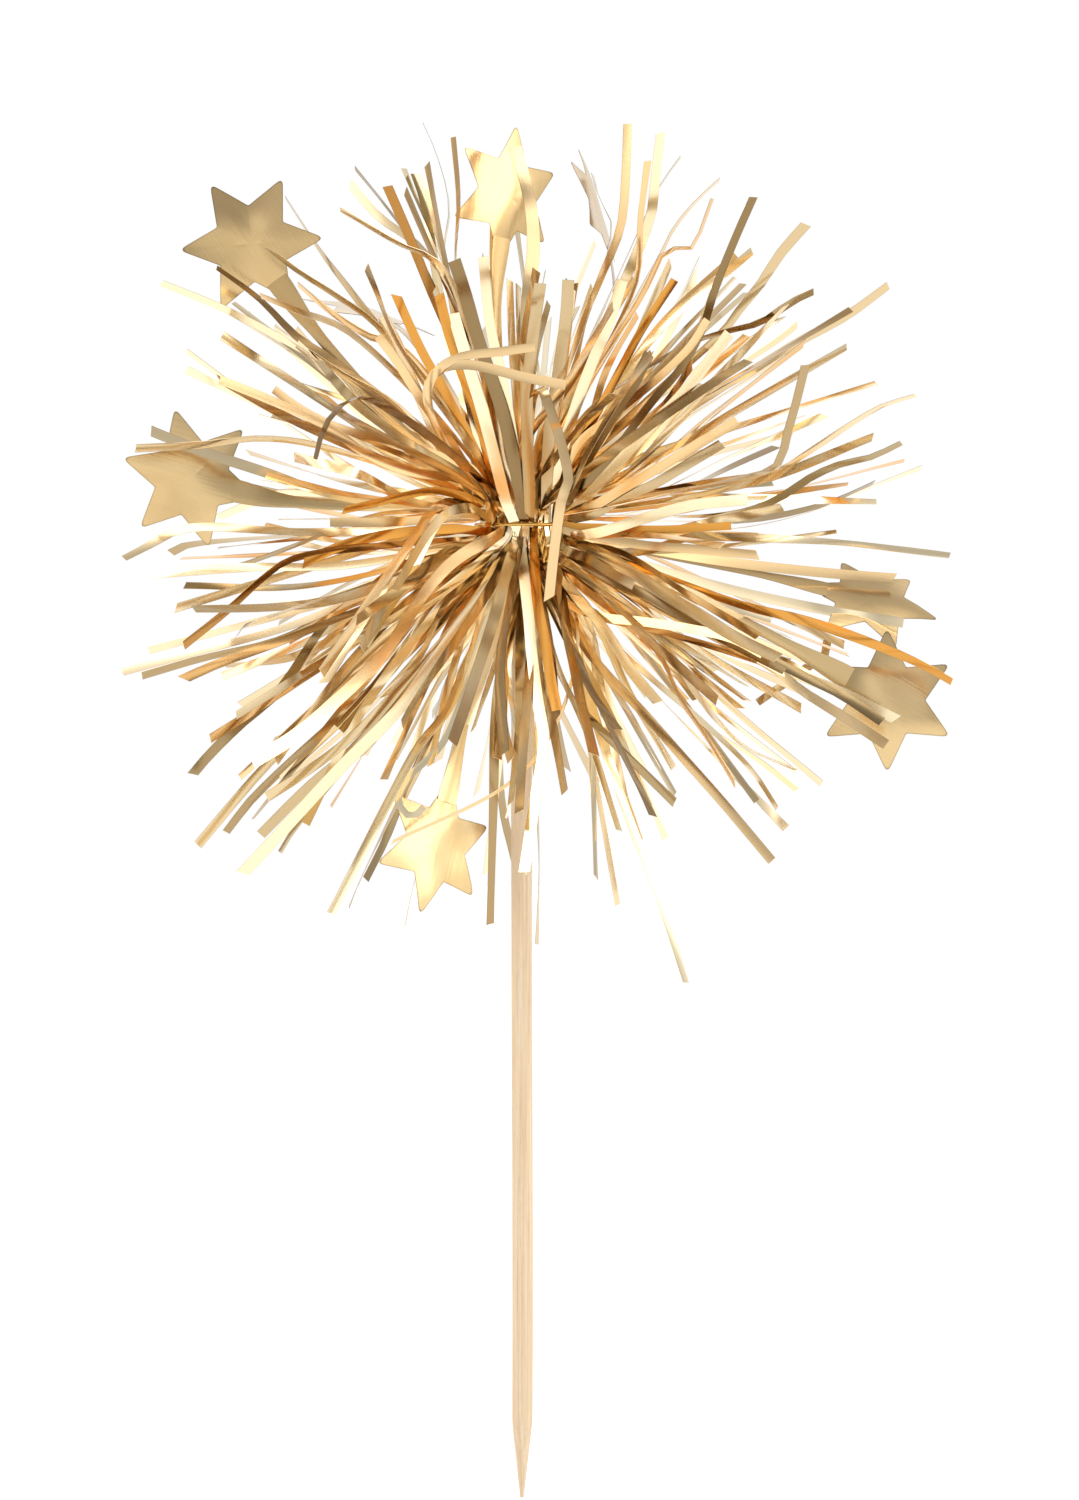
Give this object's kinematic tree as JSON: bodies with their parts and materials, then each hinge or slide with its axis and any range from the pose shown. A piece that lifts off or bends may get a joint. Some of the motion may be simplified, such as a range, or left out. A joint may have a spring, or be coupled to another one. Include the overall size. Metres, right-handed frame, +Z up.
{
  "type": "cupcake topper",
  "caption": "Party topper: a round burst of gold foil tinsel with six-pointed foil stars, tied on a plain wooden pick",
  "frame": {"origin": "the sharp end of the pick, on the pick's axis", "axes": "+Z up the pick to the burst, -Y the front that the picture shows, +X to the right of the front"},
  "size_m": [0.0955, 0.0835, 0.1583],
  "materials": {
    "pick_wood": "bare turned birch, fine lengthwise grain, matt",
    "glue": "set hot-melt glue, cloudy, soft gloss",
    "wire": "thin brass-coloured binding wire, bright",
    "tinsel_foil": "gold metallised film, satin with fine streaks",
    "star_foil": "gold metallised film, satin, die-cut star with one crease",
    "strip_foil": "gold metallised film, satin with fine streaks"
  },
  "bodies": {
    "root": {"pick": "pick_wood", "glue_cap": "glue", "tie_wire": "wire", "tinsel_front": "tinsel_foil", "tinsel_right": "tinsel_foil", "tinsel_back": "tinsel_foil", "tinsel_left": "tinsel_foil", "star_strip_01": "star_foil", "star_strip_02": "star_foil", "star_strip_03": "star_foil", "star_strip_04": "star_foil", "star_strip_05": "star_foil", "star_strip_06": "star_foil", "star_strip_07": "star_foil", "star_strip_08": "star_foil", "strip_01": "strip_foil", "strip_02": "strip_foil", "strip_03": "strip_foil", "strip_04": "strip_foil", "strip_05": "strip_foil", "strip_06": "strip_foil", "strip_07": "strip_foil", "strip_08": "strip_foil", "strip_09": "strip_foil", "strip_10": "strip_foil", "strip_11": "strip_foil", "strip_12": "strip_foil"}
  },
  "joints": []
}
